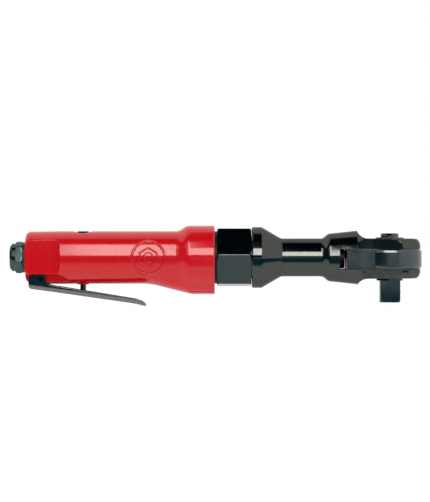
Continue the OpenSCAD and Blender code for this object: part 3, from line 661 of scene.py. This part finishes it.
@dataclass
class PressedLever:
    """The throttle lever, pressed from sheet: a tray with rounded bends, ears and a lipped tip."""

    half: float = 7.64
    sheet: float = 1.54
    bend_r: float = 2.6
    top: tuple[tuple[float, float], ...] = (
        (14.2, -10.8), (20.5, -10.8), (22.0, -11.15), (22.7, -11.9), (23.2, -15.6),
        (24.4, -16.8), (26.5, -17.4), (78.9, -26), (83, -27.4), (86, -29.3),
    )
    bottom: tuple[tuple[float, float], ...] = (
        (12, -18.8), (13, -19.8), (14.2, -20.05), (25.1, -21.5), (75.8, -28.7),
        (80, -29.4), (84, -30.3), (86, -30.7),
    )

    def build(self) -> bpy.types.Object:
        """Carries a U-shaped section along the lever.

        Formula: the section is one closed loop, down the outside of a wall, round a bend of the
        outer radius, across the underside, up the other wall, and back inside one sheet
        thickness away. Its wall tops and underside follow the lever's side outline.

        Returns:
            The lever piece.
        """
        x = stations((12, 14.4, 0.2), (14.4, 21.6, 0.8), (21.6, 24.6, 0.12), (24.6, 76, 2.0), (76, 86, 0.5))
        bottom_x, bottom_z = np.array(self.bottom).T
        low = np.interp(x, bottom_x, bottom_z)
        top_x, top_z = np.array(self.top).T
        high = np.interp(x, top_x, top_z)
        lead = np.clip(14.4 - x, 0, 2.4)
        high = np.where(x < 14.4, -10.8 - (2.4 - np.sqrt(2.4**2 - lead**2)), high)
        high = np.maximum(high, low + self.sheet * 0.85)
        tip = np.clip((x - 81.5) / 4.5, 0, 1)
        half = self.half - 1.6 * tip**3
        a = np.radians(np.linspace(180, 270, 9))
        bend = np.minimum(self.bend_r, (high - low) * 0.85)[:, None]
        inner = np.maximum(bend - self.sheet, 0.12)
        outer_y = -half[:, None] + bend + bend * np.cos(a)
        outer_z = low[:, None] + bend + bend * np.sin(a)
        inner_y = -half[:, None] + self.sheet + inner + inner * np.cos(a)
        inner_z = low[:, None] + self.sheet + inner + inner * np.sin(a)
        inner_z = np.minimum(inner_z, high[:, None] - 0.02)
        edge = 0.35
        lip_y = -half[:, None] + np.array([0, edge, self.sheet - edge, self.sheet])
        lip_z = high[:, None] + np.array([-edge, 0, 0, -edge])
        lip_z[:, 0] = np.maximum(lip_z[:, 0], outer_z[:, 0])
        left_y = np.concatenate([lip_y[:, 1::-1], outer_y], 1)
        left_z = np.concatenate([lip_z[:, 1::-1], outer_z], 1)
        back_y = np.concatenate([inner_y[:, ::-1], lip_y[:, :1:-1]], 1)
        back_z = np.concatenate([inner_z[:, ::-1], lip_z[:, :1:-1]], 1)
        loop_y = np.concatenate([left_y, -left_y[:, ::-1], -back_y[:, ::-1], back_y], 1)
        loop_z = np.concatenate([left_z, left_z[:, ::-1], back_z[:, ::-1], back_z], 1)
        points = np.stack([np.broadcast_to(x[:, None], loop_y.shape), loop_y, loop_z], -1)
        piece = build_piece("lever_pressing", [Patch(points, end_strips=True)], "lever", sharp=40)
        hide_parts("throttle_lever")
        return piece


@dataclass
class ClampNut:
    """The large hexagon nut that draws the head onto the motor housing."""

    rear_x: float = 130.9
    front_x: float = 152.5
    across_flats: float = 35.0
    turn: float = -5.0
    chamfer: float = 1.6

    def build(self) -> bpy.types.Object:
        """Builds the nut as one closed loop of rows round the axis.

        Formula: the outside's radius is the smaller of the hexagon's,
        half the width over the cosine of the angle from the nearest face's middle, and the
        chamfer cone's; both meet in a small rounding.

        Returns:
            The nut piece.
        """
        angle = hexagon_angles(self.turn, 0.7)
        from_middle = from_face_middle(angle, self.turn)
        corner = self.across_flats / 2 / math.cos(HALF_FACE)
        hexagon = np.minimum(self.across_flats / 2 / np.cos(from_middle), corner - 0.14)
        x = stations((self.rear_x, self.rear_x + 1.6, 0.16), (self.rear_x + 1.6, self.front_x - 1.6, 2),
                     (self.front_x - 1.6, self.front_x, 0.16))
        depth = np.minimum(x - self.rear_x, self.front_x - x)
        cone = corner - self.chamfer + depth * 1.45
        radius = smooth_min(hexagon[None, :] + 0 * x[:, None], cone[:, None] + 0 * angle, 0.25)
        outside = polar_points(x, radius, angle)
        bore = np.array([[152.5, 14.2], [151.9, 13.6], [149, 13.6], [149, 15.5], [131.6, 15.5], [130.9, 16.2]])
        inside = polar_points(bore[:, 0], bore[:, 1][:, None] + 0 * angle, angle)
        shell = Patch(np.concatenate([outside, inside]), wrap_rows=True, turn_over=True)
        piece = build_piece("nut_body", [shell], "housing", sharp=20)
        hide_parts("clamp_nut")
        return piece


@dataclass
class InletFitting:
    """The air inlet bushing, with its chamfered hexagon and its tapped mouth."""

    hex_corner: float = 10.35
    turn: float = 16.7
    bore_r: float = 5.62
    pitch: float = 1.41
    thread_depth: float = 0.55

    def build(self) -> bpy.types.Object:
        """Builds the bushing as one closed loop of rows round the axis.

        Formula: the thread's radius is the bore's plus a depth that follows a triangle wave of
        (x / pitch + turn), so its crest winds along the bore.

        Returns:
            The bushing piece.
        """
        angle = hexagon_angles(self.turn, 1.8)
        from_middle = from_face_middle(angle, self.turn)
        hexagon = np.minimum(self.hex_corner * math.cos(HALF_FACE) / np.cos(from_middle), self.hex_corner - 0.15)
        nose = np.array([[0.0, 7.2], [0.2, 7.4], [1.3, 8.7], [1.6, 8.75], [3.0, 8.75], [3.4, 8.75]])
        outside = [polar_points(nose[:, 0], nose[:, 1][:, None] + 0 * angle, angle)]
        x = stations((3.4, 4.6, 0.2), (4.6, 6.8, 1.1), (6.8, 8.0, 0.2))
        depth = np.minimum(x - 3.4, 8.0 - x)
        cone = self.hex_corner - 1.1 + depth * 1.3
        radius = smooth_min(hexagon[None, :] + 0 * x[:, None], cone[:, None] + 0 * angle, 0.2)
        outside.append(polar_points(x, radius, angle))
        barrel = np.array([[8.0, 7.88], [24.0, 7.88], [24.0, 4.7], [13.0, 4.7], [13.0, 5.0], [12.0, 5.0]])
        outside.append(polar_points(barrel[:, 0], barrel[:, 1][:, None] + 0 * angle, angle))
        x = stations((0.9, 11.6, 0.2))[::-1]
        phase = (x[:, None] / self.pitch + angle[None, :] / (2 * np.pi)) % 1
        fade = np.clip((11.6 - x) / 1.2, 0, 1)[:, None]
        thread = self.bore_r + self.thread_depth * np.abs(2 * phase - 1) * fade
        outside.append(polar_points(x, thread, angle))
        mouth = np.array([[0.4, 6.4], [0.1, 6.8]])
        outside.append(polar_points(mouth[:, 0], mouth[:, 1][:, None] + 0 * angle, angle))
        piece = build_piece("inlet_fitting", [Patch(np.concatenate(outside), wrap_rows=True, turn_over=True)],
                            "housing", sharp=20)
        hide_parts("inlet_bushing")
        return piece


@dataclass
class SlotShadeFilm:
    """Dark films laid over the fork slot's floor and roof, round the yoke: painted shade in the slot."""

    axis_x: float = 240.2
    inner_r: float = 15.4
    end_r: float = 19.0
    flank: float = 16.7
    rear: float = 31.4
    layers: tuple[tuple[float, float], ...] = ((-7.34, -7.14), (5.24, 5.44))

    def build(self) -> bpy.types.Object:
        """Builds both films as thin closed rings.

        Formula: the outline's radius at turn t is the smallest of the round end, the flank over
        |sin t| and the rear over -cos t, less 0.2, plus a ripple of 0.12 sin(9 t) + 0.06 sin(23 t).

        Returns:
            The grease piece.
        """
        turn = np.linspace(0, 2 * np.pi, 240, endpoint=False)
        side = self.flank / np.maximum(np.abs(np.sin(turn)), 0.05)
        back = np.where(np.cos(turn) < -0.1, self.rear / np.maximum(-np.cos(turn), 0.1), 60)
        round_end = np.where(np.cos(turn) > 0, self.end_r, 60)
        outline = np.minimum(np.minimum(side, back), round_end)
        outline = outline - 0.2 + 0.12 * np.sin(9 * turn) + 0.06 * np.sin(23 * turn)
        patches = []
        for low, high in self.layers:
            inner = np.full_like(turn, self.inner_r)
            r = np.stack([inner, outline, outline, inner], 1)
            z = np.broadcast_to(np.array([low, low, high, high]), r.shape)
            points = np.stack([self.axis_x + r * np.cos(turn)[:, None], r * np.sin(turn)[:, None], z], -1)
            patches.append(Patch(points, wrap_rows=True))
        return build_piece("slot_shade_film", patches, "housing", sharp=40)


# ------------------------------------------------------------------ studio


@dataclass
class Studio:
    """Camera, pale floor and soft studio light, with cards that only reflections see: painted highlights and
    painted dark reflections.
    """

    aim: tuple[float, float] = (0.1296, 0.0041)
    distance: float = 1.5
    field_height: float = 0.318
    floor_z: float = -0.0309

    def card(self, name: str, corners: list[tuple[float, float, float]], glow: tuple[float, float, float],
             strength: float, soft: tuple[float, float, float, float] = (0, 0, 0, 0)) -> bpy.types.Object:
        """A flat card that shows in reflections and nowhere else: a bright one paints a highlight into them, a dim
        one a dark reflection.

        Args:
            name: the card's name.
            corners: its four corners in metres, first along the tool and then away from it.
            glow: its colour.
            strength: its brightness against the white surroundings.
            soft: share of the card over which it fades out at its left, right, first and last edge.

        Returns:
            The card.
        """
        mesh = bpy.data.meshes.new(name)
        mesh.from_pydata(corners, [], [(0, 1, 2, 3)])
        mesh.uv_layers.new(name="card").data.foreach_set("uv", [0, 0, 1, 0, 1, 1, 0, 1])
        card = bpy.data.objects.new(name, mesh)
        bpy.context.scene.collection.objects.link(card)
        material = bpy.data.materials.new(name)
        material.use_nodes = True
        material.node_tree.nodes.clear()
        w = Wiring(material.node_tree)
        surface = w.add("Emission", {"Color": (*glow, 1), "Strength": strength}).outputs[0]
        place = w.add("SeparateXYZ", {0: w.add("TexCoord").outputs["UV"]})
        for width, axis, edge in zip(soft, "XXYY", (0, 1, 0, 1)):
            if width:
                inside = w.ramp(place.outputs[axis], edge, abs(edge - width))
                clear = w.add("BsdfTransparent").outputs[0]
                surface = w.add("MixShader", {0: inside, 1: clear, 2: surface}).outputs[0]
        w.add("OutputMaterial", {"Surface": surface})
        mesh.materials.append(material)
        card.visible_camera = card.visible_diffuse = card.visible_shadow = False
        card.visible_transmission = card.visible_volume_scatter = False
        return card

    @staticmethod
    def strip(reach: float, low: float, high: float, left: float, right: float) -> list[tuple[float, float, float]]:
        """Corners of a strip parallel to the tool, between two angles above the horizon in front of it.

        Args:
            reach: distance from the tool's axis.
            low, high: angles of its edges in degrees.
            left, right: its ends along the tool.

        Returns:
            Four corners in metres.
        """
        a = np.radians([low, high])
        y, z = -reach * np.cos(a), reach * np.sin(a)
        return [(left, y[0], z[0]), (right, y[0], z[0]), (right, y[1], z[1]), (left, y[1], z[1])]

    def build(self) -> None:
        """Sets the camera, the floor, the light and the cards."""
        scene = bpy.context.scene
        scene.view_settings.view_transform = "Standard"
        camera = bpy.data.objects.new("camera", bpy.data.cameras.new("camera"))
        scene.collection.objects.link(camera)
        camera.location = (self.aim[0], -self.distance, self.aim[1])
        camera.rotation_euler = (math.pi / 2, 0, 0)
        camera.data.lens = camera.data.sensor_width * self.distance / self.field_height
        camera.data.clip_end = 100
        scene.camera = camera
        world = bpy.data.worlds.new("white surroundings")
        world.use_nodes = True
        world.node_tree.nodes["Background"].inputs["Color"].default_value = (1, 1, 1, 1)
        world.node_tree.nodes["Background"].inputs["Strength"].default_value = 1.0
        scene.world = world
        mesh = bpy.data.meshes.new("floor")
        mesh.from_pydata([(-30, -30, self.floor_z), (30, -30, self.floor_z), (30, 30, self.floor_z),
                          (-30, 30, self.floor_z)], [], [(0, 1, 2, 3)])
        floor = bpy.data.objects.new("floor", mesh)
        scene.collection.objects.link(floor)
        material = bpy.data.materials.new("floor")
        material.use_nodes = True
        shader = material.node_tree.nodes["Principled BSDF"]
        shader.inputs["Base Color"].default_value = (0.14, 0.14, 0.14, 1)
        shader.inputs["Roughness"].default_value = 0.9
        shader.inputs["Specular IOR Level"].default_value = 0.0
        shader.inputs["Emission Color"].default_value = (1, 1, 1, 1)
        shader.inputs["Emission Strength"].default_value = 0.9
        mesh.materials.append(material)
        # dim is the faint teal of the dark cards that paint dark reflections.
        dim, low, far = (0.03, 0.65, 1.0), self.floor_z + 0.0006, 1.1
        border = 0.1
        warm = (1.0, 0.97, 0.94)
        # Painted highlights: bright cards that light nothing and show only in reflections, as the highlight bands
        # on grip and head.
        self.card("painted_highlight_grip", self.strip(0.75, 5, 62, -0.03, border), warm, 8.5, (0.3, 0, 0.1, 0.2))
        self.card("painted_highlight_head", self.strip(0.75, 4, 34.5, border, 0.5), warm, 8.5, (0, 0, 0.1, 0.06))
        # Painted dark reflections: faint teal cards that block no light and cast no shadow. They show only in
        # reflections, as dark bands above, in front of, under and left of the tool.
        self.card("painted_dark_upper_grip", self.strip(0.8, 58, 95, -far, border), dim, 0.06, (0, 0, 0.1, 0.3))
        self.card("painted_dark_upper_head", self.strip(0.8, 34, 110, border, 0.5), dim, 0.03, (0, 0, 0.05, 0.25))
        self.card("painted_dark_front_grip", [(-far, -0.72, 0.12), (border, -0.72, 0.12), (border, -0.72, low),
                                       (-far, -0.72, low)], dim, 0.08)
        self.card("painted_dark_front_head", [(border, -0.72, 0.12), (0.7, -0.72, 0.12), (0.7, -0.72, -0.016),
                                       (border, -0.72, -0.016)], dim, 0.08, (0, 0.2, 0, 0.08))
        self.card("painted_dark_table_grip", [(-far, -0.719, low), (border, -0.719, low), (border, -0.03, low),
                                      (-far, -0.03, low)], dim, 0.1, (0, 0, 0, 0.12))
        self.card("painted_dark_table_head", [(border, -0.6, low), (0.7, -0.6, low), (0.7, -0.045, low),
                                      (border, -0.045, low)], dim, 0.3, (0, 0, 0, 0.05))
        self.card("painted_dark_left", [(-0.5, -0.72, low), (-0.5, 0.3, low), (-0.5, 0.3, 0.4),
                                (-0.5, -0.72, 0.4)], dim, 0.15)
        key = bpy.data.lights.new("key", "AREA")
        key.shape, key.size, key.size_y, key.energy = "RECTANGLE", 1.2, 0.6, 1.5
        lamp = bpy.data.objects.new("key", key)
        lamp.location = (0.0, -0.9, 0.9)
        lamp.rotation_euler = (math.radians(45), 0, 0)
        lamp.visible_glossy = False
        scene.collection.objects.link(lamp)


def main() -> None:
    """Builds every sub-assembly in order and reports it."""
    logging.basicConfig(level=logging.INFO, format="%(name)s: %(message)s")
    Studio().build()
    paints = Paintbox()
    LOG.info("%d CAD nodes dressed", paints.dress_nodes())
    # the slot films take the near-black finish as painted shade
    for maker, slot in ((GripHousing(), Slot.ENAMEL), (GripBadge(), Slot.ENAMEL), (PressedLever(), Slot.LEVER),
                        (ClampNut(), Slot.OXIDE), (InletFitting(), Slot.PLATED),
                        (SlotShadeFilm(), Slot.PHOSPHATE)):
        piece = maker.build()
        paints.dress(piece, slot)
        LOG.info("%s: %d faces", piece.name, len(piece.data.polygons))


if __name__ == "__main__":
    main()
